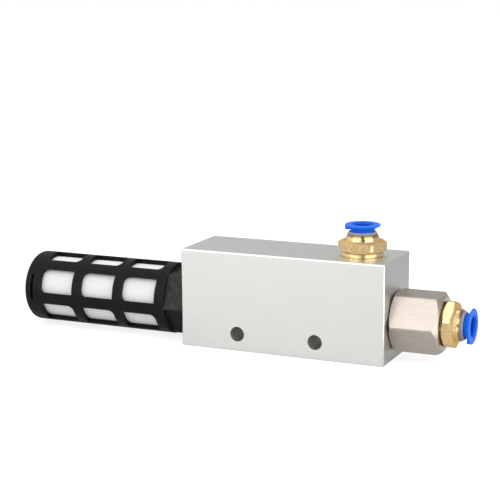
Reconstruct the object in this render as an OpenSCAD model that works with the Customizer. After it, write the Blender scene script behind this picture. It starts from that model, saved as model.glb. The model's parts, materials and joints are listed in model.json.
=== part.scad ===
// Single-stage vacuum ejector: an aluminium block with a supply nozzle and a
// diffuser inside, a push-in fitting for the vacuum line on top, a plated
// adapter with a second push-in fitting for the compressed air, and a
// plastic silencer on the exhaust.
// Millimetres. Origin: centre of the block's underside. +X runs from the
// silencer to the air supply, +Z is up, and the bolt holes run along Y.

/* [Block] */
// Length of the block along the air axis
block_l = 70; // [68:0.5:80]
// Width of the block across the air axis
block_w = 25; // [24:0.5:32]
// Height of the block
block_h = 32.5; // [32:0.5:40]
// Radius on all edges of the block
edge_r = 0.5; // [0.3:0.1:1.5]
// Height of the air axis above the underside
axis_h = 12.7; // [12.5:0.1:13.5]
// Place of the vacuum port along the block
vacuum_x = 23.3; // [23:0.1:24]

/* [Bolt holes] */
// Diameter of the two through holes
bolt_d = 4.9; // [3.4:0.1:5]
// Height of the holes above the underside
bolt_h = 5.7; // [5:0.1:5.8]
// Place of the left hole along the block
bolt_left_x = -15; // [-16:0.5:-13]
// Place of the right hole along the block
bolt_right_x = 12; // [10:0.5:12]

/* [Silencer] */
// Outer diameter of the cage
cage_d = 24; // [23:0.5:24.5]
// Length from the block's face to the end of the cap
silencer_l = 61.8; // [61.5:0.1:64]
// Width of the hexagon across its flats
silencer_af = 20.5; // [20:0.1:21.5]
// Turn of the windows and of the hexagon about the air axis, in degrees
silencer_turn = -9; // [-18:3:-9]
// Number of windows round the cage
window_n = 6; // [4:2:6]
// Number of rings of windows along the cage
window_rows = 3; // [2:1:3]
// Width of a window across the axis
window_w = 8.2; // [6:0.1:8.6]
// Length of a window along the axis
window_l = 12.7; // [10:0.1:12.8]
// Distance from one ring of windows to the next
window_pitch = 15.9; // [15.6:0.1:16]
// Outer diameter of the filter
filter_d = 20.7; // [18:0.1:20.8]

/* [Supply adapter] */
// Width of the adapter across its flats
adapter_af = 18; // [17.8:0.1:19]
// Distance from the block's face to the adapter's far end
adapter_end = 16; // [15.5:0.1:18]
// Turn of the adapter's hexagon about the air axis, in degrees
adapter_turn = 32; // [0:4:60]

/* [Push-in fittings] */
// Width of the fitting's hexagon across its flats
fitting_af = 14; // [14:0.5:15]
// Outer diameter of the tube that the fittings take
tube_d = 6; // [5.8:0.1:6]
// Turn of the vacuum fitting's hexagon, in degrees
vacuum_turn = 11.5; // [11.5:0.5:15]
// Turn of the supply fitting's hexagon, in degrees
supply_turn = 10; // [8:2:20]
// How far a release collar can be pressed in
collar_travel = 0.7; // [0.5:0.1:0.9]

/* [Hidden] */
$fn = 64;

fit_gap = 0.03;      // between a screwed or pressed piece and its hole
cut = 1;             // how far a cutter runs past the face that it opens
drill_slope = 0.6;   // height over radius of a drilled hole's pointed end

// Air passages in the block, as distances from its centre along X
exhaust_r = 8.33;
exhaust_bottom = -21;
diffuser_r = 3.75;
chamber_r = 5.5;
chamber_left = 15.5;
thread_r = 6.58;
thread_bottom = 27;
port_mouth_r = 7;
vacuum_bottom = 21.5;
vacuum_duct_r = 3.5;

// Diffuser: a flanged tube with a wide mouth, a throat and a long cone
diffuser_flange_r = 5.2;
diffuser_flange_t = 1.5;
diffuser_end = -22;
diffuser_mouth_r = 3;
diffuser_throat_r = 1.5;
diffuser_throat = [8, 0];
diffuser_outlet_r = 3;
diffuser_ring_x = 5;

// Nozzle: a flanged tube that narrows to a jet in front of the diffuser
nozzle_seat = 40.5;
nozzle_flange_r = 4.55;
nozzle_flange_t = 1.15;
nozzle_r = 3.57;
nozzle_shoulder = 24.5;
nozzle_tip = 17.8;
nozzle_tip_r = 1.9;
nozzle_inlet_r = 3;
nozzle_duct_r = 1.6;
nozzle_throat = 20;
nozzle_throat_r = 0.7;
nozzle_jet_r = 0.95;
nozzle_ring_x = 30;

// O-rings on the nozzle and on the diffuser
ring_wire_r = 0.5;
ring_groove_w = 1.3;

// Adapter, from the block's face outwards
adapter_base = 0.35;
adapter_stub_l = 7.4;
adapter_bore_r = 3.6;
adapter_corner_r = adapter_af / sqrt(3) - 0.13;
adapter_rear_r = 9.2;
adapter_front_r = 8.4;
adapter_front_slope = 0.76;
adapter_rear_slope = 0.58;
adapter_mouth_r = 7.15;
adapter_mouth_depth = 0.85;
seal_ring = [6.75, 8.8];

// Silencer, from the block's face outwards
stub_r = 8.28;
stub_l = 12.4;
stub_bore_r = 5.6;
hex_l = 7.5;
hex_turn = 32;
cage_wall = 1.5;
cage_floor = 9;
window_start = 10.8;
window_turn = -60;
window_corner = 2;
cap_edge_r = 1.7;
cap_t = 1.9;
cap_skirt_l = 3;
cap_skirt_wall = 1;
spigot_wall = 0.8;
spigot_l = 3;
filter_r_in = 6.5;
filter_shortening = 0.2;
snap_n = 3;
snap_turn = -81.5;
snap_arc = 43;
snap_from_end = 2.75;
snap_w = 1.1;
snap_height = 0.6;
snap_play = 0.1;
snap_side_play = 2;

// Push-in fitting, as heights above the face that it screws into
stub_fit_l = 9;
collar_ring_r = 6.7;
collar_ring = [0.3, 1.5];
hex_top = 5.1;
hex_low_r = fitting_af / 2 - 0.2;
hex_top_r = fitting_af / 2 - 0.75;
hex_corner_r = fitting_af / sqrt(3) - 0.28;
hex_low_slope = 0.7;
hex_top_slope = 0.5;
cone_r = [5.4, 5.25, 4.87];
cone_shoulder = 6;
cone_top = 6.85;
bore_air_r = 2.2;
tube_stop = -6;
seal_seat = -1;
seal_pocket_r = 4;
claw_pocket = 1.2;
claw_pocket_r = 4.2;
claw_seat = 4.3;
mouth_r = 4.42;
claw_t = 0.25;
claw_root_r = 3.9;
claw_tip_h = 2.2;
claw_n = 8;
claw_slot = 0.7;
claw_slot_top = claw_seat - 0.3;
guide_top = 7.75;
guide_lip = 6.9;
guide_lip_r = 3.85;
guide_skirt_r = 4.15;
guide_rim_r = [4.8, 4.35];
collar_neck_r = 3.8;
collar_hook_r = 4.1;
collar_hook = [5.9, 6.88];
collar_nose = 4.75;
collar_nose_r = 3.3;
collar_neck_top = guide_top + collar_travel;
collar_flange_low = collar_neck_top + 1.15;
collar_top = collar_flange_low + 0.45;
collar_rim_r = 5.65;
collar_edge = 0.15;
collar_lead = 0.55;
collar_lug_r = 5.6;
collar_lug_low = collar_neck_top + 0.15;
collar_lug_w = 4.4;
vacuum_collar_turn = 195;
supply_collar_turn = 0;
bore_r = tube_d / 2 + 0.1;
supply_sink = 1.1;

// Places of the four sub-assemblies

module at_exhaust() {
    translate([-block_l / 2, 0, axis_h]) rotate([0, -90, 0]) children();
}

module at_supply() {
    translate([block_l / 2, 0, axis_h]) rotate([0, 90, 0]) children();
}

// Along the air axis, with local +Z on +X and zero at the block's centre
module on_air_axis() {
    translate([0, 0, axis_h]) rotate([0, 90, 0]) children();
}

module at_vacuum_fitting() {
    translate([vacuum_x, 0, block_h]) children();
}

module at_supply_fitting() {
    at_supply() translate([0, 0, adapter_end - supply_sink]) children();
}

// Shared shapes

// Rectangle with round corners, centred
module rounded_rect(a, b, r) {
    square([a - 2 * r, b], center = true);
    square([a, b - 2 * r], center = true);
    for (x = [-1, 1], y = [-1, 1])
        translate([x * (a / 2 - r), y * (b / 2 - r)]) circle(r);
}

// Box on the floor with all its edges round
module rounded_block(l, w, h, r) {
    translate([0, 0, h / 2]) intersection() {
        linear_extrude(h, center = true) rounded_rect(l, w, r);
        rotate([90, 0, 0]) linear_extrude(w + cut, center = true)
            rounded_rect(l, h, r);
        rotate([90, 0, 90]) linear_extrude(l + cut, center = true)
            rounded_rect(w, h, r);
    }
}

// Hexagonal bar turned down to the radius corner_r at its corners and
// bevelled at both ends: r_low and r_high are the radii of its end circles,
// and the slopes are rise over radius
module turned_hex(af, h, corner_r, r_low, r_high, slope_low, slope_high) {
    intersection() {
        cylinder(r = af / sqrt(3), h = h, $fn = 6);
        rotate_extrude() polygon([
            [0, 0], [r_low, 0], [corner_r, (corner_r - r_low) * slope_low],
            [corner_r, h - (corner_r - r_high) * slope_high], [r_high, h], [0, h]
        ]);
    }
}

// Drilled hole from height 0 down to -depth, with a pointed bottom that
// ends at the radius of the hole that follows
module drilled(r, depth, next_r = 0) {
    translate([0, 0, -depth]) {
        cylinder(r = r, h = depth + cut);
        translate([0, 0, -(r - next_r) * drill_slope])
            cylinder(r1 = next_r, r2 = r, h = (r - next_r) * drill_slope);
    }
}

// Threaded stub from height 0 down to -l, with a bevelled end
module stub(r, l) {
    bevel = 0.8;
    translate([0, 0, -l]) {
        cylinder(r1 = r - bevel, r2 = r, h = bevel);
        translate([0, 0, bevel]) cylinder(r = r, h = l - bevel);
    }
}

// Groove for an O-ring, centred on height 0
module ring_groove(r, outer) {
    rotate_extrude() translate([r, -ring_groove_w / 2])
        square([outer - r + cut, ring_groove_w]);
}

// O-ring that just touches a bore of radius r, centred on height 0
module o_ring(r) {
    rotate_extrude() translate([r - ring_wire_r - 0.02, 0])
        circle(ring_wire_r, $fn = 32);
}

// Block

module body_block() {
    color([0.86, 0.87, 0.86]) difference() {
        rounded_block(block_l, block_w, block_h, edge_r);
        at_exhaust() drilled(exhaust_r, block_l / 2 + exhaust_bottom, diffuser_r);
        on_air_axis() {
            translate([0, 0, exhaust_bottom])
                cylinder(r = diffuser_r, h = chamber_left - exhaust_bottom + cut);
            translate([0, 0, chamber_left])
                cylinder(r = chamber_r, h = block_l / 2 - chamber_left);
            translate([0, 0, thread_bottom])
                cylinder(r = thread_r, h = block_l / 2 - thread_bottom + cut);
        }
        at_supply() mouth_bevel();
        at_vacuum_fitting() {
            drilled(thread_r, block_h - vacuum_bottom, vacuum_duct_r);
            mouth_bevel();
            translate([0, 0, axis_h - block_h])
                cylinder(r = vacuum_duct_r, h = block_h - axis_h);
        }
        for (x = [bolt_left_x, bolt_right_x])
            translate([x, 0, bolt_h]) rotate([90, 0, 0])
                cylinder(d = bolt_d, h = block_w + 2 * cut, center = true);
    }
}

// Bevel round the mouth of a threaded port
module mouth_bevel() {
    bevel = port_mouth_r - thread_r;
    translate([0, 0, -bevel])
        cylinder(r1 = thread_r, r2 = port_mouth_r + cut, h = bevel + cut);
}

// Diffuser

module diffuser_tube() {
    head = chamber_left + diffuser_flange_t;
    outer = diffuser_r - fit_gap;
    color([0.80, 0.70, 0.45]) on_air_axis() difference() {
        rotate_extrude() polygon([
            [diffuser_outlet_r, diffuser_end], [outer, diffuser_end],
            [outer, chamber_left], [diffuser_flange_r, chamber_left],
            [diffuser_flange_r, head - 0.4], [diffuser_flange_r - 0.4, head],
            [diffuser_mouth_r, head], [diffuser_throat_r, diffuser_throat[0]],
            [diffuser_throat_r, diffuser_throat[1]]
        ]);
        translate([0, 0, diffuser_ring_x])
            ring_groove(diffuser_r - 2 * ring_wire_r - 0.1, diffuser_r);
    }
}

module diffuser_o_ring() {
    color([0.08, 0.08, 0.08]) on_air_axis()
        translate([0, 0, diffuser_ring_x]) o_ring(diffuser_r);
}

// Supply adapter, its seal and the nozzle inside it

module supply_adapter() {
    hex_h = adapter_end - adapter_base;
    port_depth = block_l / 2 + adapter_end - nozzle_seat;
    color([0.83, 0.79, 0.76]) at_supply() difference() {
        union() {
            translate([0, 0, adapter_base]) rotate(adapter_turn)
                turned_hex(adapter_af, hex_h, adapter_corner_r, adapter_rear_r,
                    adapter_front_r, adapter_rear_slope, adapter_front_slope);
            translate([0, 0, adapter_base])
                stub(thread_r - fit_gap, adapter_base + adapter_stub_l);
        }
        translate([0, 0, adapter_end - port_depth])
            cylinder(r = thread_r, h = port_depth + cut);
        translate([0, 0, adapter_end - adapter_mouth_depth])
            cylinder(r = adapter_mouth_r, h = adapter_mouth_depth + cut);
        translate([0, 0, nozzle_seat - block_l / 2 - nozzle_flange_t])
            cylinder(r = nozzle_flange_r + fit_gap, h = nozzle_flange_t + cut);
        translate([0, 0, -adapter_stub_l - cut])
            cylinder(r = adapter_bore_r, h = adapter_end);
    }
}

module adapter_seal_ring() {
    color([0.10, 0.10, 0.10]) at_supply() difference() {
        cylinder(r = seal_ring[1], h = adapter_base);
        translate([0, 0, -cut]) cylinder(r = seal_ring[0], h = adapter_base + 2 * cut);
    }
}

module supply_nozzle() {
    flange = nozzle_seat - nozzle_flange_t;
    color([0.80, 0.66, 0.36]) on_air_axis() difference() {
        rotate_extrude() polygon([
            [nozzle_jet_r, nozzle_tip], [nozzle_tip_r, nozzle_tip],
            [nozzle_r, nozzle_shoulder], [nozzle_r, flange],
            [nozzle_flange_r, flange], [nozzle_flange_r, nozzle_seat],
            [nozzle_inlet_r, nozzle_seat], [nozzle_duct_r, nozzle_seat - 4.5],
            [nozzle_duct_r, nozzle_shoulder], [nozzle_throat_r, nozzle_throat]
        ]);
        translate([0, 0, nozzle_ring_x])
            ring_groove(adapter_bore_r - 2 * ring_wire_r - 0.1, nozzle_r);
    }
}

module nozzle_o_ring() {
    color([0.08, 0.08, 0.08]) on_air_axis()
        translate([0, 0, nozzle_ring_x]) o_ring(adapter_bore_r);
}

// Silencer

// One window: two corners are round, on the end that round_end names with
// 1 or -1, and the other two are square
module window_shape(round_end) {
    inner_w = window_w - 2 * window_corner;
    translate([0, -round_end * window_corner / 2])
        square([window_w, window_l - window_corner], center = true);
    square([inner_w, window_l], center = true);
    for (x = [-1, 1])
        translate([x * inner_w / 2, round_end * (window_l / 2 - window_corner)])
            circle(window_corner);
}

module cage_windows() {
    reach = cage_d / 2 - 4;
    for (k = [0 : window_n - 1], row = [0 : window_rows - 1])
        rotate(k * 360 / window_n)
            translate([reach, 0, window_start + window_l / 2 + row * window_pitch])
                rotate([90, 0, 90]) linear_extrude(cage_d)
                    window_shape(k % 2 == 0 ? 1 : -1);
}

// Slots near the end of the cage, where the cap's lugs snap in
module snap_sectors(r, height, arc) {
    for (k = [0 : snap_n - 1])
        rotate(snap_turn + k * 360 / snap_n - arc / 2)
            rotate_extrude(angle = arc) square([r, height]);
}

module silencer_body() {
    r_out = cage_d / 2;
    tube_end = silencer_l - cap_t;
    color([0.11, 0.11, 0.11]) at_exhaust() difference() {
        union() {
            intersection() {
                rotate(silencer_turn + hex_turn)
                    cylinder(d = silencer_af / cos(30), h = hex_l, $fn = 6);
                cylinder(r = r_out, h = hex_l);
            }
            translate([0, 0, hex_l]) cylinder(r = r_out, h = tube_end - hex_l);
            stub(stub_r, stub_l);
        }
        translate([0, 0, -stub_l - cut])
            cylinder(r = stub_bore_r, h = stub_l + cage_floor + spigot_l + 2 * cut);
        difference() {
            translate([0, 0, cage_floor])
                cylinder(r = r_out - cage_wall, h = silencer_l);
            translate([0, 0, cage_floor - cut])
                cylinder(r = stub_bore_r + spigot_wall, h = spigot_l + cut);
        }
        rotate(silencer_turn + window_turn) cage_windows();
        translate([0, 0, silencer_l - snap_from_end - snap_w])
            snap_sectors(r_out + cut, snap_w, snap_arc);
    }
}

module silencer_filter() {
    low = cage_floor;
    high = silencer_l - cap_t - cap_skirt_l - filter_shortening;
    color([0.95, 0.95, 0.94]) at_exhaust() translate([0, 0, low]) difference() {
        cylinder(d = filter_d, h = high - low);
        translate([0, 0, -cut]) cylinder(r = filter_r_in, h = high - low + 2 * cut);
    }
}

module silencer_end_cap() {
    r_out = cage_d / 2;
    skirt_r = r_out - cage_wall - 0.05;
    spigot_r = filter_r_in - 0.1;
    base = silencer_l - cap_t;
    color([0.11, 0.11, 0.11]) at_exhaust() {
        translate([0, 0, base]) cap_disc(r_out);
        difference() {
            translate([0, 0, base - cap_skirt_l]) cylinder(r = skirt_r, h = cap_skirt_l);
            translate([0, 0, base - cap_skirt_l - cut])
                cylinder(r = skirt_r - cap_skirt_wall, h = cap_skirt_l + cut);
        }
        difference() {
            translate([0, 0, base - cap_skirt_l - spigot_l])
                cylinder(r = spigot_r, h = cap_skirt_l + spigot_l);
            translate([0, 0, base - cap_skirt_l - spigot_l - cut])
                cylinder(r = spigot_r - spigot_wall, h = cap_skirt_l + spigot_l + cut);
        }
        difference() {
            translate([0, 0, silencer_l - snap_from_end - snap_w + snap_play])
                snap_sectors(skirt_r + snap_height, snap_w - 2 * snap_play,
                             snap_arc - 2 * snap_side_play);
            cylinder(r = skirt_r - cap_skirt_wall, h = silencer_l);
        }
    }
}

// Disc with a round outer edge
module cap_disc(r) {
    rotate_extrude() {
        square([r - cap_edge_r, cap_t]);
        square([r, cap_t - cap_edge_r]);
        translate([r - cap_edge_r, cap_t - cap_edge_r]) intersection() {
            circle(cap_edge_r);
            square(cap_edge_r);
        }
    }
}

// Push-in fitting

module fitting_body(turn) {
    color([0.86, 0.71, 0.45]) difference() {
        union() {
            stub(thread_r - fit_gap, stub_fit_l);
            cylinder(r = thread_r - fit_gap, h = collar_ring[1]);
            translate([0, 0, collar_ring[0]])
                cylinder(r = collar_ring_r, h = collar_ring[1] - collar_ring[0]);
            translate([0, 0, collar_ring[1]]) rotate(turn)
                turned_hex(fitting_af, hex_top - collar_ring[1], hex_corner_r,
                    hex_low_r, hex_top_r, hex_low_slope, hex_top_slope);
            fitting_neck();
        }
        translate([0, 0, -stub_fit_l - cut])
            cylinder(r = bore_air_r, h = stub_fit_l + hex_top);
        translate([0, 0, tube_stop]) cylinder(r = bore_r, h = cone_top);
        translate([0, 0, seal_seat]) cylinder(r = seal_pocket_r, h = cone_top);
        translate([0, 0, claw_pocket]) cylinder(r = claw_pocket_r, h = cone_top);
        translate([0, 0, claw_seat]) cylinder(r = mouth_r, h = cone_top);
    }
}

// Two cones above the hexagon, the upper one steeper
module fitting_neck() {
    rotate_extrude() polygon([
        [0, hex_top], [cone_r[0], hex_top], [cone_r[1], cone_shoulder],
        [cone_r[2], cone_top], [0, cone_top]
    ]);
}

// Ring pressed into the fitting's mouth: it holds the claw down and guides
// the release collar
module guide_ring() {
    color([0.60, 0.58, 0.57]) rotate_extrude() polygon([
        [guide_skirt_r, claw_seat + claw_t], [mouth_r - 0.01, claw_seat + claw_t],
        [mouth_r - 0.01, cone_top], [guide_rim_r[0], cone_top],
        [guide_rim_r[1], guide_top], [guide_lip_r, guide_top],
        [guide_lip_r, guide_lip], [guide_skirt_r, guide_lip]
    ]);
}

// Sprung stainless ring whose teeth lean in and grip the tube
module grip_claw() {
    slope = (claw_root_r - bore_r) / (claw_seat + claw_t - claw_tip_h);
    color([0.75, 0.75, 0.76]) difference() {
        rotate_extrude() polygon([
            [bore_r, claw_tip_h], [bore_r + claw_t * 0.6, claw_tip_h],
            [claw_root_r + claw_t * 0.6 - slope * claw_t, claw_seat],
            [mouth_r - 0.02, claw_seat], [mouth_r - 0.02, claw_seat + claw_t],
            [claw_root_r, claw_seat + claw_t]
        ]);
        for (k = [0 : claw_n - 1])
            rotate(k * 360 / claw_n) translate([0, -claw_slot / 2, claw_tip_h - cut])
                cube([claw_pocket_r + cut, claw_slot, claw_slot_top - claw_tip_h + cut]);
    }
}

// Lip seal round the tube, with a V groove on its pressure side
module tube_seal() {
    low = seal_seat + 0.05;
    high = claw_pocket - 0.05;
    outer = seal_pocket_r - 0.03;
    inner = bore_r + 0.02;
    middle = (outer + inner) / 2;
    color([0.12, 0.12, 0.12]) rotate_extrude() polygon([
        [inner, low], [middle - 0.15, low], [middle, low + 0.7],
        [middle + 0.15, low], [outer, low], [outer, high],
        [inner + 0.3, high], [inner, high - 0.3]
    ]);
}

// Release collar: a sleeve with a hooked nose and a flange whose underside is
// a cone, and a deeper lug on one side of it, turned by turn
module release_collar(turn) {
    color([0.13, 0.42, 0.95]) rotate(turn) difference() {
        union() {
            rotate_extrude() polygon([
                [0, collar_nose], [collar_nose_r, collar_nose],
                [collar_neck_r, collar_hook[0] - 0.2],
                [collar_hook_r, collar_hook[0] + 0.2],
                [collar_hook_r, collar_hook[1]], [collar_neck_r, collar_hook[1]],
                [collar_neck_r, collar_neck_top], [collar_rim_r, collar_flange_low],
                [collar_rim_r, collar_top - collar_edge],
                [collar_rim_r - collar_edge, collar_top], [0, collar_top]
            ]);
            intersection() {
                translate([bore_r + 0.3, -collar_lug_w / 2, collar_lug_low])
                    cube([collar_lug_r, collar_lug_w, collar_top - 0.1 - collar_lug_low]);
                cylinder(r = collar_lug_r, h = collar_top);
            }
        }
        cylinder(r = bore_r, h = collar_top + cut);
        translate([0, 0, collar_top - collar_lead])
            cylinder(r1 = bore_r, r2 = bore_r + 2 * collar_lead, h = 2 * collar_lead);
    }
}

module vacuum_fitting_body() { at_vacuum_fitting() fitting_body(vacuum_turn); }
module vacuum_guide_ring() { at_vacuum_fitting() guide_ring(); }
module vacuum_release_collar() { at_vacuum_fitting() release_collar(vacuum_collar_turn); }
module vacuum_grip_claw() { at_vacuum_fitting() grip_claw(); }
module vacuum_tube_seal() { at_vacuum_fitting() tube_seal(); }

module supply_fitting_body() { at_supply_fitting() fitting_body(supply_turn); }
module supply_guide_ring() { at_supply_fitting() guide_ring(); }
module supply_release_collar() { at_supply_fitting() release_collar(supply_collar_turn); }
module supply_grip_claw() { at_supply_fitting() grip_claw(); }
module supply_tube_seal() { at_supply_fitting() tube_seal(); }

body_block();
supply_adapter();
adapter_seal_ring();
supply_nozzle();
nozzle_o_ring();
diffuser_tube();
diffuser_o_ring();
silencer_body();
silencer_filter();
silencer_end_cap();
vacuum_fitting_body();
vacuum_guide_ring();
vacuum_release_collar();
vacuum_grip_claw();
vacuum_tube_seal();
supply_fitting_body();
supply_guide_ring();
supply_release_collar();
supply_grip_claw();
supply_tube_seal();
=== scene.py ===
"""Vacuum ejector: looks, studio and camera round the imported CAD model.

The CAD nodes keep their shapes and get procedural materials here. Everything
is in metres, in the model's own frame: +X from the silencer to the air supply,
+Z up, and the front face looks to -Y. Colours are linear.
"""

import json
from math import cos, pi, radians, sin

import bpy
from mathutils import Matrix, Vector


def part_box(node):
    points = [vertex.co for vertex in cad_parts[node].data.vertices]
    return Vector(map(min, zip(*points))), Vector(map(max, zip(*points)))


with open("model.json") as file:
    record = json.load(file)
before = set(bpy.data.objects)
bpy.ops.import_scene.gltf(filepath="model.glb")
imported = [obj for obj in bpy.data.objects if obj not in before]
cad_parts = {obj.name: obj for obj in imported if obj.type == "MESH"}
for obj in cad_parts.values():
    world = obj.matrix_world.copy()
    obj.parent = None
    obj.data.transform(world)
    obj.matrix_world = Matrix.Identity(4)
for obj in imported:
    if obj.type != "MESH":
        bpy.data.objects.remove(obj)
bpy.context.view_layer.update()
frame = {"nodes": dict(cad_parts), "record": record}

MM = 0.001
SCENE = bpy.context.scene


# ---------------------------------------------------------------- places

ALONG_X = Vector((1, 0, 0))
ALONG_Y = Vector((0, 1, 0))
ALONG_Z = Vector((0, 0, 1))
BLOCK_LOW, BLOCK_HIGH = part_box("body_block")
BLOCK_MIDDLE = (BLOCK_LOW + BLOCK_HIGH) / 2
CAP_LOW, CAP_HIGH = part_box("silencer_end_cap")
AIR_AXIS = Vector((0, 0, (CAP_LOW.z + CAP_HIGH.z) / 2))
MOUNTS = {mount["name"]: mount for mount in frame["record"]["mounts"]}

# Where the silencer's hexagon ends, away from the block
SILENCER_HEX_END = BLOCK_LOW.x - 7.5 * MM

# A push-in fitting, as heights above the face that it screws into: the foot of
# its hexagon and the top of the brass cone above it
HEX_FOOT = 1.5 * MM
CONE_TOP = 6.85 * MM

# Its radii: out to the hexagon's flats, and the mouth of its collar
FLAT_R = 7.0 * MM
MOUTH_R = 3.7 * MM

# Turn of the silencer's mould seam about the air axis
SEAM_TURN = radians(-24)


def bolt_holes():
    """The middle of each bolt hole, and their radius."""
    mount = MOUNTS["mounting_holes"]
    middle = Vector(mount["pos_m"])
    apart = mount["dims"]["spacing_x_mm"] * MM / 2
    places = [middle + side * apart * ALONG_X for side in (-1, 1)]
    return places, mount["dims"]["hole_r_mm"] * MM


def fitting_axis(line):
    """Where a fitting's axis meets its seat, and the axis as a unit vector."""
    low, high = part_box(line + "_fitting_body")
    middle = (low + high) / 2
    if line == "vacuum":
        return Vector((middle.x, middle.y, high.z - CONE_TOP)), ALONG_Z
    return Vector((high.x - CONE_TOP, middle.y, middle.z)), ALONG_X


# ---------------------------------------------------------------- colours


def rgb(red, green, blue):
    return (red, green, blue, 1.0)


# Two colours in one name are the ends that a pattern wanders between
ANODISED = rgb(0.835, 0.845, 0.812), rgb(0.851, 0.861, 0.829)
ANODISED_STREAK = rgb(0.815, 0.823, 0.795)
ANODISED_END_SAWN_AND_SHADE = rgb(0.64, 0.647, 0.630)
ANODISED_WORN_AND_HIGHLIGHT = rgb(0.97, 0.97, 0.96)
ANODISED_RIM = rgb(0.9, 0.9, 0.89)
DRILLED = rgb(0.56, 0.57, 0.54), rgb(0.86, 0.87, 0.84)

PLATE = rgb(0.573, 0.502, 0.442), rgb(0.667, 0.599, 0.543)
PLATE_SCRATCH = rgb(0.50, 0.42, 0.37)
PLATE_PAINTED_SHADE = rgb(0.46, 0.40, 0.35)
PLATE_WORN = rgb(0.9, 0.87, 0.84)

BRASS_FLAT = rgb(0.62, 0.40, 0.17), rgb(1.0, 0.765, 0.44)
BRASS_BLOTCH = rgb(0.66, 0.45, 0.21)
BRASS_TURNED = rgb(0.90, 0.68, 0.33), rgb(0.97, 0.78, 0.43)
BRASS_UNDERSIDE_PAINTED_SHADE = rgb(0.74, 0.50, 0.19)
BRASS_SUPPLY_FLAT_PAINTED_HIGHLIGHT = rgb(1.0, 0.72, 0.38)
BRASS_SUPPLY_PAINTED_HIGHLIGHT = rgb(1.0, 0.93, 0.56)
BRASS_GAP_PAINTED_SHADE = rgb(0.36, 0.22, 0.085)
BRASS_LEVEL = rgb(0.86, 0.58, 0.22)
BRASS_WORN = rgb(0.98, 0.86, 0.56)

BLACK = rgb(0.0065, 0.0065, 0.007), rgb(0.011, 0.011, 0.0115)
BLACK_SCUFF = rgb(0.035, 0.035, 0.036)
BLACK_CHALK_AND_SHEEN = rgb(0.066, 0.066, 0.062)
BLACK_WORN = rgb(0.045, 0.045, 0.046)

WHITE = rgb(0.858, 0.858, 0.851), rgb(0.882, 0.882, 0.877)
WHITE_PORE = rgb(0.72, 0.72, 0.705)
WHITE_DUST = rgb(0.76, 0.76, 0.75)

BLUE = rgb(0.004, 0.150, 0.90), rgb(0.006, 0.190, 0.97)
BLUE_FLOW = rgb(0.008, 0.23, 1.0)
BLUE_MOUTH_PAINTED_SHADE = rgb(0.003, 0.06, 0.55)
BLUE_WORN = rgb(0.05, 0.28, 1.0)

GREY = rgb(0.31, 0.28, 0.31), rgb(0.41, 0.38, 0.42)
GREY_WORN = rgb(0.42, 0.40, 0.42)
GREY_PAINTED_SHADE = rgb(0.10, 0.065, 0.045)

STEEL = rgb(0.56, 0.56, 0.555), rgb(0.67, 0.66, 0.64)
RUBBER = rgb(0.030, 0.028, 0.027), rgb(0.055, 0.052, 0.050)


# ---------------------------------------------------------------- roughness

# 0 is a mirror and 1 is matt. Two values in one name are ends, as for colours
ANODISED_ROUGH = 0.395, 0.415
DRILLED_ROUGH = 0.5
PLATE_ROUGH = 0.27, 0.36
PLATE_TURNED_ROUGH = 0.22
BRASS_FLAT_ROUGH = 0.30, 0.42
BRASS_TURNED_ROUGH = 0.10, 0.16
BRASS_LEVEL_ROUGH = 0.55
BLACK_ROUGH = 0.34, 0.46
WHITE_ROUGH = 0.85
BLUE_ROUGH = 0.30, 0.38
GREY_ROUGH = 0.36, 0.46
STEEL_ROUGH = 0.2, 0.34
RUBBER_ROUGH = 0.55, 0.75


# ---------------------------------------------------------------- shading

# Most of a noise lies in this range
NOISE_LOW, NOISE_HIGH = 0.3, 0.7

# How squarely a face looks along an axis: from not at all to clearly
FACING_LOW, FACING_HIGH = 0.6, 0.9

# Rays that each soft edge is worked out from
EDGE_SAMPLES = 6


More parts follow.
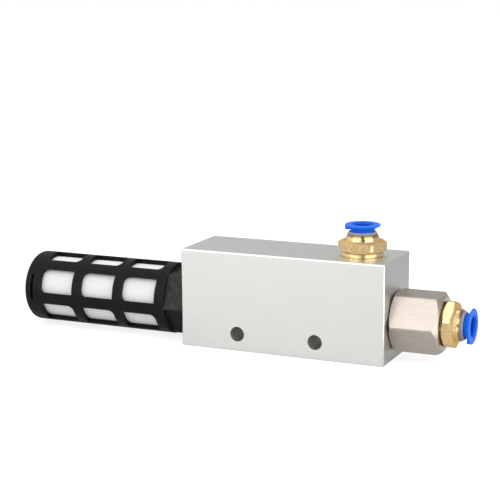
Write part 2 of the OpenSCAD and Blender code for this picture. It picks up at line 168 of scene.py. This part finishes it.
class Shading:
    """One material's nodes. Each method adds nodes and returns an output."""

    def __init__(self, name, **uniform):
        self.material = bpy.data.materials.new(name)
        self.material.use_nodes = True
        self.tree = self.material.node_tree
        self.shader = self.tree.nodes["Principled BSDF"]
        for socket, value in uniform.items():
            self.shader.inputs[socket.replace("_", " ")].default_value = value
        place = self.node("ShaderNodeTexCoord")
        self.place = place.outputs["Object"]
        self.facing = place.outputs["Normal"]

    def node(self, kind, **settings):
        made = self.tree.nodes.new(kind)
        for key, value in settings.items():
            setattr(made, key, value)
        return made

    def feed(self, socket, value):
        """Gives an input an output to follow, or a plain value."""
        if isinstance(value, bpy.types.NodeSocket):
            self.tree.links.new(value, socket)
        else:
            socket.default_value = value

    def set(self, name, value):
        self.feed(self.shader.inputs[name], value)

    def math(self, operation, *values):
        made = self.node("ShaderNodeMath", operation=operation)
        for socket, value in zip(made.inputs, values):
            self.feed(socket, value)
        return made.outputs[0]

    def times(self, a, b):
        return self.math("MULTIPLY", a, b)

    def larger(self, a, b):
        return self.math("MAXIMUM", a, b)

    def vector(self, operation, *values):
        made = self.node("ShaderNodeVectorMath", operation=operation)
        for socket, value in zip(made.inputs, values):
            self.feed(socket, value)
        return made

    def minus(self, place, start):
        return self.vector("SUBTRACT", place, tuple(start)).outputs[0]

    def unit(self, vector):
        return self.vector("NORMALIZE", vector).outputs[0]

    def length(self, vector):
        return self.vector("LENGTH", vector).outputs["Value"]

    def dot(self, a, b):
        return self.vector("DOT_PRODUCT", a, tuple(b)).outputs["Value"]

    def turned_to(self, axis):
        """1 where the surface faces along the axis, 0 where it runs along it."""
        return self.math("ABSOLUTE", self.dot(self.facing, axis))

    def span(self, value, low, high, to_low=0.0, to_high=1.0):
        """Carries low..high over to to_low..to_high, smoothly and no further."""
        made = self.node("ShaderNodeMapRange", interpolation_type="SMOOTHSTEP")
        for socket, given in zip(made.inputs, (value, low, high, to_low, to_high)):
            self.feed(socket, given)
        return made.outputs[0]

    def vary(self, noise, low, high):
        """Lets a noise wander between low and high."""
        return self.span(noise, NOISE_LOW, NOISE_HIGH, low, high)

    def round_axis(self, start, axis):
        """Height along an axis and distance from it."""
        offset = self.minus(self.place, start)
        height = self.dot(offset, axis)
        along = self.vector("SCALE", tuple(axis))
        self.feed(along.inputs["Scale"], height)
        away = self.vector("SUBTRACT", offset, along.outputs[0]).outputs[0]
        return height, self.length(away)

    def join(self, *parts):
        made = self.node("ShaderNodeCombineXYZ")
        for socket, value in zip(made.inputs, parts):
            self.feed(socket, value)
        return made.outputs[0]

    def noise(self, grain, detail=3.0, roughness=0.55, stretch=(1, 1, 1), place=None):
        """Noise from 0 to 1 whose grains are about that many metres across."""
        made = self.node("ShaderNodeTexNoise")
        stretched = self.vector("MULTIPLY", place or self.place, stretch).outputs[0]
        self.feed(made.inputs["Vector"], stretched)
        made.inputs["Scale"].default_value = 1 / grain
        made.inputs["Detail"].default_value = detail
        made.inputs["Roughness"].default_value = roughness
        return made.outputs[0]

    def rings(self, grain, height, radius):
        """Noise in rings round an axis, by the height along it and the radius."""
        return self.noise(grain, detail=2.0, place=self.join(height, radius, 0.0))

    def beads(self, grain):
        """Distance from the middles of packed beads, in shares of a bead."""
        made = self.node("ShaderNodeTexVoronoi")
        self.feed(made.inputs["Vector"], self.place)
        made.inputs["Scale"].default_value = 1 / grain
        return made.outputs["Distance"]

    def mix(self, factor, a, b):
        made = self.node("ShaderNodeMix", data_type="RGBA")
        for socket, value in ((0, factor), (6, a), (7, b)):
            self.feed(made.inputs[socket], value)
        return made.outputs[2]

    def cover(self, under, over, where, share):
        """Lays a colour over another where that is 1, by that share at most."""
        return self.mix(self.times(where, share), under, over)

    def blend(self, factor, a, b):
        made = self.node("ShaderNodeMix", data_type="FLOAT")
        for socket, value in ((0, factor), (2, a), (3, b)):
            self.feed(made.inputs[socket], value)
        return made.outputs[0]

    def bump(self, height, depth, normal=None):
        """Relief of that depth in metres where height goes from 0 to 1."""
        made = self.node("ShaderNodeBump")
        made.inputs["Distance"].default_value = depth
        self.feed(made.inputs["Height"], height)
        if normal is not None:
            self.feed(made.inputs["Normal"], normal)
        return made.outputs[0]

    def soft_edges(self, radius):
        """A normal that turns smoothly over every edge."""
        made = self.node("ShaderNodeBevel", samples=EDGE_SAMPLES)
        made.inputs["Radius"].default_value = radius
        return made.outputs[0]

    def edges(self, radius):
        """1 along the edges of the shape and 0 away from them."""
        flat = self.node("ShaderNodeNewGeometry").outputs["Normal"]
        rounded = self.soft_edges(radius)
        likeness = self.vector("DOT_PRODUCT", rounded, flat).outputs["Value"]
        return self.span(likeness, low=0.995, high=0.86)


def dress(node, shading):
    """Gives a CAD node that material."""
    slots = frame["nodes"][node].data.materials
    slots.clear()
    slots.append(shading.material)


# ---------------------------------------------------------------- materials


def anodised_aluminium():
    """Satin anodised bar: drawn lines along it, sawn ends darkened partly as painted
    shade, edges lightened by wear and painted highlight, drilled holes.
    """
    made = Shading("anodised_aluminium", Metallic=1.0)
    turned = [made.turned_to(axis) for axis in (ALONG_X, ALONG_Y, ALONG_Z)]
    ends = made.span(turned[0], FACING_LOW, FACING_HIGH)
    flatness = made.larger(made.larger(turned[0], turned[1]), turned[2])
    drawn = made.noise(grain=0.14 * MM, stretch=(0.006, 1, 1))
    sawn = made.noise(grain=0.2 * MM, stretch=(1, 0.02, 1))
    lines = made.blend(ends, drawn, sawn)
    streaks = made.noise(grain=1.6 * MM, stretch=(0.03, 1, 1))
    clouds = made.noise(grain=11 * MM, detail=4.0)
    grit = made.noise(grain=0.07 * MM, detail=2.0)
    # Rounded edges: pale where worn, and pale as a painted highlight along them
    wear = made.span(flatness, low=0.985, high=0.90)
    patches = made.span(made.noise(grain=1.3 * MM), low=0.3, high=0.6, to_low=0.6)
    rub_and_highlight = made.times(wear, patches)

    metal = made.mix(clouds, *ANODISED)
    streaks = made.span(streaks, low=0.42, high=0.7, to_high=0.25)
    metal = made.mix(streaks, metal, ANODISED_STREAK)
    # The ends are darker partly as sawn metal and partly as painted shade on those
    # sides
    metal = made.mix(ends, metal, ANODISED_END_SAWN_AND_SHADE)
    metal = made.mix(rub_and_highlight, metal, ANODISED_WORN_AND_HIGHLIGHT)
    rough = made.vary(clouds, *ANODISED_ROUGH)
    rough = made.math("ADD", rough, made.vary(lines, -0.01, 0.015))
    rough = made.math("SUBTRACT", rough, made.times(rub_and_highlight, 0.2))
    relief = made.math("ADD", lines, made.times(grit, 0.6))

    inside, rim = drilled_holes(made)
    feed_marks = made.noise(grain=0.22 * MM, detail=2.0, stretch=(0.02, 1, 0.02))
    drilled = made.mix(feed_marks, *DRILLED)
    metal = made.cover(metal, ANODISED_RIM, where=rim, share=0.5)
    made.set("Base Color", made.mix(inside, metal, drilled))
    made.set("Roughness", made.blend(inside, rough, DRILLED_ROUGH))
    made.set("Normal", made.bump(relief, depth=0.0006 * MM))
    return made


def drilled_holes(made):
    """1 on the walls of the bolt holes, and 1 on the rims round them."""
    places, radius = bolt_holes()
    inside, rim = 0.0, 0.0
    for place in places:
        _, away = made.round_axis(place, ALONG_Y)
        wall = made.span(away, low=radius + 0.06 * MM, high=radius)
        inside = made.larger(inside, wall)
        ring = made.math("ABSOLUTE", made.math("SUBTRACT", away, radius + 0.1 * MM))
        rim = made.larger(rim, made.span(ring, low=0.16 * MM, high=0.02 * MM))
    return inside, rim


def nickel():
    """Nickel plate over a milled hexagon with turned ends."""
    made = Shading("nickel_plate", Metallic=1.0)
    start = AIR_AXIS + BLOCK_HIGH.x * ALONG_X
    height, radius = made.round_axis(start, ALONG_X)
    turned = made.span(made.turned_to(ALONG_X), low=0.12, high=0.3)
    milled = made.noise(grain=0.16 * MM, detail=4.0, stretch=(0.02, 1, 1))
    lathe = made.rings(0.11 * MM, height, radius)
    marks = made.blend(turned, milled, lathe)
    scratches = made.noise(grain=0.5 * MM, stretch=(0.05, 1, 0.7))
    scratches = made.span(scratches, low=0.6, high=0.66)
    clouds = made.noise(grain=2.2 * MM, detail=4.0, roughness=0.6, stretch=(0.35, 1, 1))
    wear = made.edges(0.22 * MM)

    plate = made.mix(clouds, *PLATE)
    plate = made.cover(plate, PLATE_SCRATCH, where=scratches, share=0.35)
    # Painted shade: darker plate in the gap next to the block's face
    painted_shade_by_block = made.span(height, low=1.1 * MM, high=0.3 * MM)
    plate = made.cover(plate, PLATE_PAINTED_SHADE, where=painted_shade_by_block, share=0.4)
    made.set("Base Color", made.cover(plate, PLATE_WORN, where=wear, share=0.6))
    rough = made.blend(turned, made.vary(clouds, *PLATE_ROUGH), PLATE_TURNED_ROUGH)
    made.set("Roughness", made.math("ADD", rough, made.times(marks, 0.05)))
    ridge = made.bump(marks, depth=0.003 * MM, normal=made.soft_edges(0.18 * MM))
    made.set("Normal", made.bump(scratches, depth=0.004 * MM, normal=ridge))
    return made


def brass(line):
    """Bare brass: bright where it is turned, grainy on the hexagon's flats.

    The supply fitting's brass has a painted highlight, paler where it faces up
    and on its flats, and painted shade, deeper where it faces down.
    """
    made = Shading("brass_" + line, Metallic=1.0)
    start, axis = fitting_axis(line)
    height, radius = made.round_axis(start, axis)
    outer = made.span(radius, low=FLAT_R - 0.12 * MM, high=FLAT_R - 0.04 * MM)
    level = made.span(made.turned_to(axis), FACING_LOW, FACING_HIGH)
    upright = made.span(made.turned_to(axis), low=0.45, high=0.2)
    flats = made.times(outer, upright)
    grain = made.noise(grain=0.42 * MM, detail=5.0, roughness=0.75)
    blotch = made.noise(grain=1.1 * MM, detail=3.0)
    lathe = made.rings(0.09 * MM, height, radius)
    wear = made.edges(0.2 * MM)

    drawn = made.mix(made.span(grain, low=0.38, high=0.62), *BRASS_FLAT)
    blotch = made.span(blotch, low=0.5, high=0.75, to_high=0.3)
    drawn = made.mix(blotch, drawn, BRASS_BLOTCH)
    cut = made.mix(made.span(lathe, low=0.35, high=0.7), *BRASS_TURNED)
    if line == "supply":
        upward = made.dot(made.facing, ALONG_Z)
        # Painted shade: deeper brass on the supply fitting's faces that look down
        under = made.span(upward, low=0.0, high=-0.6, to_high=0.7)
        cut = made.mix(under, cut, BRASS_UNDERSIDE_PAINTED_SHADE)
        # Painted highlight: paler brass on flats that face up, and a paler tint on
        # every flat
        bright = made.span(upward, low=0.2, high=0.3)
        drawn = made.mix(0.45, drawn, BRASS_SUPPLY_FLAT_PAINTED_HIGHLIGHT)
        drawn = made.cover(drawn, BRASS_SUPPLY_PAINTED_HIGHLIGHT, where=bright, share=0.8)
    # Painted shade: dark brass in the gap at the hexagon's foot, and on the lip where
    # it closes over the grey ring
    foot = made.span(height, low=HEX_FOOT - 0.5 * MM, high=HEX_FOOT - 0.05 * MM)
    over = made.span(height, low=HEX_FOOT + 0.6 * MM, high=HEX_FOOT + 0.2 * MM)
    foot = made.times(foot, over)
    lip = made.span(height, low=CONE_TOP - 0.7 * MM, high=CONE_TOP - 0.5 * MM)
    lip = made.times(lip, made.math("SUBTRACT", 1.0, level))
    cut = made.cover(cut, BRASS_GAP_PAINTED_SHADE, where=made.larger(foot, lip), share=0.85)
    cut = made.cover(cut, BRASS_LEVEL, where=level, share=0.8)
    metal = made.mix(flats, cut, drawn)
    made.set("Base Color", made.cover(metal, BRASS_WORN, where=wear, share=0.35))
    rough = made.vary(lathe, *BRASS_TURNED_ROUGH)
    rough = made.blend(level, rough, BRASS_LEVEL_ROUGH)
    rough = made.blend(flats, rough, made.vary(grain, *BRASS_FLAT_ROUGH))
    made.set("Roughness", rough)
    relief = made.blend(flats, made.times(lathe, 0.3), grain)
    soft = made.soft_edges(0.14 * MM)
    made.set("Normal", made.bump(relief, depth=0.006 * MM, normal=soft))
    return made


def black_plastic():
    """Moulded nylon: spark grain, scuffs, chalky hexagon with painted sheen on the
    flats not turned down, and a mould seam.
    """
    made = Shading("black_plastic", Specular_IOR_Level=0.11)
    grain = made.noise(grain=0.09 * MM, detail=2.0)
    clouds = made.noise(grain=1.5 * MM, detail=5.0, roughness=0.65)
    scuffs = made.noise(grain=0.7 * MM, detail=5.0, stretch=(0.3, 1, 1))
    scuffs = made.span(scuffs, low=0.58, high=0.72)
    wear = made.edges(0.25 * MM)
    seam = seam_along(made)
    hexagon = made.dot(made.place, ALONG_X)
    hexagon = made.span(hexagon, low=SILENCER_HEX_END - 0.5 * MM,
                        high=SILENCER_HEX_END + 0.5 * MM)
    patches = made.span(clouds, low=0.34, high=0.66, to_low=0.3, to_high=0.95)
    # Painted sheen: the chalky patches are kept to faces that are not turned down
    painted_sheen_not_below = made.span(made.dot(made.facing, ALONG_Z), low=-0.45, high=-0.2)
    chalk_and_sheen = made.times(made.times(hexagon, patches), painted_sheen_not_below)

    black = made.mix(clouds, *BLACK)
    black = made.cover(black, BLACK_SCUFF, where=scuffs, share=0.35)
    black = made.cover(black, BLACK_CHALK_AND_SHEEN, where=chalk_and_sheen, share=0.8)
    made.set("Base Color", made.cover(black, BLACK_WORN, where=wear, share=0.6))
    rough = made.vary(clouds, *BLACK_ROUGH)
    made.set("Roughness", made.math("SUBTRACT", rough, made.times(wear, 0.05)))
    relief = made.math("ADD", made.times(grain, 0.5), made.times(clouds, 0.6))
    relief = made.bump(relief, depth=0.008 * MM, normal=made.soft_edges(0.2 * MM))
    made.set("Normal", made.bump(seam, depth=0.03 * MM, normal=relief))
    return made


def seam_along(made):
    """1 on the two thin lines where the halves of the mould met."""
    across = Vector((0, cos(SEAM_TURN), sin(SEAM_TURN)))
    offset = made.minus(made.place, AIR_AXIS)
    distance = made.math("ABSOLUTE", made.dot(offset, across))
    return made.span(distance, low=0.12 * MM, high=0.03 * MM)


def porous_white():
    """Sintered polyethylene: small fused beads with dark pores between them."""
    made = Shading("porous_white", Roughness=WHITE_ROUGH, Specular_IOR_Level=0.2)
    beads = made.beads(grain=0.32 * MM)
    dust = made.noise(grain=0.12 * MM, detail=3.0)
    clouds = made.noise(grain=3.5 * MM, detail=3.0)
    pores = made.span(beads, low=0.42, high=0.75)
    white = made.cover(made.mix(clouds, *WHITE), WHITE_PORE, where=pores, share=0.2)
    specks = made.span(dust, low=0.62, high=0.8, to_high=0.12)
    made.set("Base Color", made.mix(specks, white, WHITE_DUST))
    relief = made.math("SUBTRACT", made.times(dust, 0.4), beads)
    made.set("Normal", made.bump(relief, depth=0.012 * MM))
    return made


def blue_plastic(line):
    """Glossy acetal, with flow lines round the axis, small scuffs, and painted shade in
    the mouth.
    """
    made = Shading("blue_plastic_" + line, Specular_IOR_Level=0.15)
    start, axis = fitting_axis(line)
    height, radius = made.round_axis(start, axis)
    flow = made.rings(0.5 * MM, height, radius)
    clouds = made.noise(grain=1.8 * MM, detail=3.0)
    scuffs = made.span(made.noise(grain=0.25 * MM, detail=4.0), low=0.6, high=0.74)
    wear = made.edges(0.14 * MM)
    blue = made.cover(made.mix(clouds, *BLUE), BLUE_FLOW, where=flow, share=0.25)
    # Painted shade: deeper blue down in the mouth of the collar
    mouth = made.span(radius, low=MOUTH_R + 0.3 * MM, high=MOUTH_R)
    blue = made.cover(blue, BLUE_MOUTH_PAINTED_SHADE, where=mouth, share=0.6)
    made.set("Base Color", made.cover(blue, BLUE_WORN, where=wear, share=0.4))
    rough = made.vary(flow, *BLUE_ROUGH)
    rough = made.math("ADD", rough, made.times(scuffs, 0.15))
    made.set("Roughness", rough)
    relief = made.math("ADD", flow, scuffs)
    soft = made.soft_edges(0.1 * MM)
    made.set("Normal", made.bump(relief, depth=0.004 * MM, normal=soft))
    return made


def grey_plastic(line):
    """Moulded acetal, darkened with painted shade where the brass lip is closed over
    it.
    """
    made = Shading("grey_plastic_" + line, Specular_IOR_Level=0.4)
    start, axis = fitting_axis(line)
    height, _ = made.round_axis(start, axis)
    clouds = made.noise(grain=0.8 * MM, detail=4.0)
    grain = made.noise(grain=0.08 * MM, detail=2.0)
    wear = made.edges(0.15 * MM)
    grey = made.cover(made.mix(clouds, *GREY), GREY_WORN, where=wear, share=0.5)
    # Painted shade: dark brown on the ring where the brass lip closes over it
    painted_shade_by_lip = made.span(height, low=CONE_TOP + 0.4 * MM, high=CONE_TOP + 0.2 * MM)
    made.set("Base Color", made.cover(grey, GREY_PAINTED_SHADE, where=painted_shade_by_lip, share=0.8))
    made.set("Roughness", made.vary(clouds, *GREY_ROUGH))
    soft = made.soft_edges(0.1 * MM)
    made.set("Normal", made.bump(grain, depth=0.004 * MM, normal=soft))
    return made


def stainless():
    """Pressed spring strip, slightly coloured by its heat treatment."""
    made = Shading("stainless", Metallic=1.0)
    grain = made.noise(grain=0.06 * MM, detail=2.0)
    heat = made.noise(grain=0.9 * MM, detail=2.0)
    made.set("Base Color", made.mix(heat, *STEEL))
    made.set("Roughness", made.vary(grain, *STEEL_ROUGH))
    soft = made.soft_edges(0.04 * MM)
    made.set("Normal", made.bump(grain, depth=0.002 * MM, normal=soft))
    return made


def rubber():
    """Matt moulded rubber with a fine grain."""
    made = Shading("rubber", Specular_IOR_Level=0.3)
    grain = made.noise(grain=0.1 * MM, detail=4.0)
    clouds = made.noise(grain=1.2 * MM, detail=3.0)
    made.set("Base Color", made.mix(clouds, *RUBBER))
    made.set("Roughness", made.vary(clouds, *RUBBER_ROUGH))
    made.set("Normal", made.bump(grain, depth=0.006 * MM))
    return made


def dress_all():
    """Gives every CAD node its material."""
    dress("body_block", anodised_aluminium())
    dress("supply_adapter", nickel())
    black, seal, steel = black_plastic(), rubber(), stainless()
    for node in ("silencer_body", "silencer_end_cap"):
        dress(node, black)
    dress("silencer_filter", porous_white())
    for node in ("adapter_seal_ring", "nozzle_o_ring", "diffuser_o_ring"):
        dress(node, seal)
    metals = {line: brass(line) for line in ("vacuum", "supply")}
    for node in ("supply_nozzle", "diffuser_tube"):
        dress(node, metals["supply"])
    for line, metal in metals.items():
        dress(line + "_fitting_body", metal)
        dress(line + "_release_collar", blue_plastic(line))
        dress(line + "_guide_ring", grey_plastic(line))
        dress(line + "_grip_claw", steel)
        dress(line + "_tube_seal", seal)


# ---------------------------------------------------------------- camera

VIEW_AZIMUTH = radians(24.19)
VIEW_ELEVATION = radians(11.31)
VIEW_ROLL = radians(-0.37)
VIEW_DISTANCE = 0.4586
AIM_RIGHT, AIM_UP = -0.01456, 0.0158
LENS_MM, SENSOR_MM = 101.09, 36.0
NEAREST_SEEN = 0.01


def direction(azimuth, elevation=0.0):
    """Unit vector: azimuth 0 is the front, and 90 degrees is the +X side."""
    level = cos(elevation)
    return Vector((sin(azimuth) * level, -cos(azimuth) * level, sin(elevation)))


def aim(place, back, roll=0.0):
    """A matrix at that place whose -Z looks against back."""
    right = ALONG_Z.cross(back).normalized()
    up = back.cross(right)
    turned_right = right * cos(roll) + up * sin(roll)
    turned_up = up * cos(roll) - right * sin(roll)
    turn = Matrix((turned_right, turned_up, back)).transposed().to_4x4()
    return Matrix.Translation(place) @ turn


def add_camera():
    """The photograph's view of the object."""
    lens = bpy.data.cameras.new("camera")
    lens.sensor_width = SENSOR_MM
    lens.lens = LENS_MM
    lens.clip_start = NEAREST_SEEN
    camera = bpy.data.objects.new("camera", lens)
    SCENE.collection.objects.link(camera)
    back = direction(VIEW_AZIMUTH, VIEW_ELEVATION)
    turn = aim(Vector(), back, VIEW_ROLL)
    aim_at = BLOCK_MIDDLE + turn @ Vector((AIM_RIGHT, AIM_UP, 0))
    camera.matrix_world = aim(aim_at + back * VIEW_DISTANCE, back, VIEW_ROLL)
    SCENE.camera = camera


# ---------------------------------------------------------------- studio

# The unseen room, as strengths where 1 is white
FRONT_TONE, BEHIND_DIMS, STRIP_DIMS = 0.92, 0.45, 0.88
ROOM_FILL = 0.82

# The dimmer side: its middle, and the cosines of the angle from there at which
# it begins and is full
BEHIND_AZIMUTH = radians(160)
BEHIND_BEGINS, BEHIND_FULL = -0.2, 0.9

# A dark strip that stands still in the room, where the photograph's camera was
STRIP_AZIMUTH = VIEW_AZIMUTH
STRIP_OUTER, STRIP_INNER = radians(14), radians(7)

# The floor's strengths: mirrored in shiny surfaces, the brighter patch there, as
# a light on matt surfaces, and as seen
FLOOR_MIRRORED, FLOOR_SHINE, FLOOR_BOUNCE, FLOOR_GLOW = 0.32, 1.0, 0.26, 0.79
FLOOR_HALF = 3.0
FLOOR_GREY = 0.4
NEAR_FLOOR, FAR_FLOOR = 80 * MM, 250 * MM

# The brighter patch: its middle direction, its sides and where it begins
SHINE_AZIMUTH = radians(70)
SHINE_OUTER, SHINE_INNER = radians(42), radians(22)
SHINE_BEGINS, SHINE_FULL = 25 * MM, 50 * MM


def add_lamp(name, azimuth, elevation, distance, width, height, radiance):
    """Soft box that faces the object. Radiance 1 looks white in a mirror."""
    light = bpy.data.lights.new(name, "AREA")
    light.shape = "RECTANGLE"
    light.size, light.size_y = width, height
    light.energy = radiance * pi * width * height
    lamp = bpy.data.objects.new(name, light)
    SCENE.collection.objects.link(lamp)
    back = direction(radians(azimuth), radians(elevation))
    lamp.matrix_world = aim(BLOCK_MIDDLE + back * distance, back)


def add_lamps():
    add_lamp("left_box", azimuth=-26, elevation=24, distance=0.75,
             width=0.70, height=0.70, radiance=0.92)
    add_lamp("right_box", azimuth=66, elevation=24, distance=0.75,
             width=0.80, height=0.66, radiance=1.15)
    add_lamp("top_box", azimuth=205, elevation=72, distance=0.9,
             width=0.8, height=0.5, radiance=0.7)


def room_tone(made, place):
    """How bright the unseen room is, by the direction from the object.

    It is pale in front and dimmer behind on the right, with one dark strip.
    """
    level = made.unit(made.vector("MULTIPLY", place, (1, 1, 0)).outputs[0])
    strip = made.dot(level, direction(STRIP_AZIMUTH))
    strip = made.span(strip, low=cos(STRIP_OUTER), high=cos(STRIP_INNER))
    behind = made.dot(level, direction(BEHIND_AZIMUTH))
    behind = made.span(behind, BEHIND_BEGINS, BEHIND_FULL)
    tone = made.math("MULTIPLY_ADD", behind, -BEHIND_DIMS, FRONT_TONE)
    return made.times(tone, made.math("MULTIPLY_ADD", strip, -STRIP_DIMS, 1.0))


def seen_or(made, seen, unseen):
    """The strength for rays from the eye, direct or through glass, or else unseen."""
    rays = made.node("ShaderNodeLightPath").outputs
    looking = made.larger(rays["Is Camera Ray"], rays["Is Transmission Ray"])
    return made.blend(looking, unseen, seen)


def mirrored_or(made, plain, mirrored):
    """The strength that shiny surfaces show, or else plain."""
    rays = made.node("ShaderNodeLightPath").outputs
    return made.blend(rays["Is Glossy Ray"], plain, mirrored)


class Backdrop(Shading):
    """The world's nodes, with the same helpers as a material's."""

    def __init__(self, world):
        world.use_nodes = True
        self.tree = world.node_tree
        self.shader = self.tree.nodes["Background"]


def add_world():
    """White where the camera looks, and the unseen room for all other rays."""
    world = bpy.data.worlds.new("world")
    SCENE.world = world
    made = Backdrop(world)
    way = made.node("ShaderNodeTexCoord").outputs["Generated"]
    room = mirrored_or(made, ROOM_FILL, room_tone(made, way))
    made.set("Color", rgb(1, 1, 1))
    made.set("Strength", seen_or(made, 1.0, room))


def floor_shine(made):
    """1 on the floor to the right of the block, from a little way off it."""
    offset = made.minus(made.place, (BLOCK_HIGH.x, BLOCK_LOW.y, 0))
    turned = made.dot(made.unit(offset), direction(SHINE_AZIMUTH))
    turned = made.span(turned, low=cos(SHINE_OUTER), high=cos(SHINE_INNER))
    return made.times(turned, made.span(made.length(offset), SHINE_BEGINS, SHINE_FULL))


def add_floor():
    """Floor that looks white, apart from the object's faint shadow on it."""
    mesh = bpy.data.meshes.new("floor")
    corners = [(x, y, 0) for x, y in ((-1, -1), (1, -1), (1, 1), (-1, 1))]
    corners = [Vector(corner) * FLOOR_HALF for corner in corners]
    mesh.from_pydata(corners, [], [(0, 1, 2, 3)])
    floor = bpy.data.objects.new("floor", mesh)
    SCENE.collection.objects.link(floor)
    made = Shading("floor", Roughness=1.0, Specular_IOR_Level=0.0)
    made.set("Base Color", rgb(FLOOR_GREY, FLOOR_GREY, FLOOR_GREY))
    made.set("Emission Color", rgb(1, 1, 1))
    far = made.span(made.length(made.place), NEAR_FLOOR, FAR_FLOOR)
    tone = made.blend(far, FRONT_TONE, room_tone(made, made.place))
    tone = made.times(tone, FLOOR_MIRRORED)
    tone = made.math("MULTIPLY_ADD", floor_shine(made), FLOOR_SHINE, tone)
    unseen = mirrored_or(made, FLOOR_BOUNCE, tone)
    made.set("Emission Strength", seen_or(made, FLOOR_GLOW, unseen))
    mesh.materials.append(made.material)


# ---------------------------------------------------------------- scene

SCENE.view_settings.view_transform = "Standard"
dress_all()
add_camera()
add_lamps()
add_world()
add_floor()
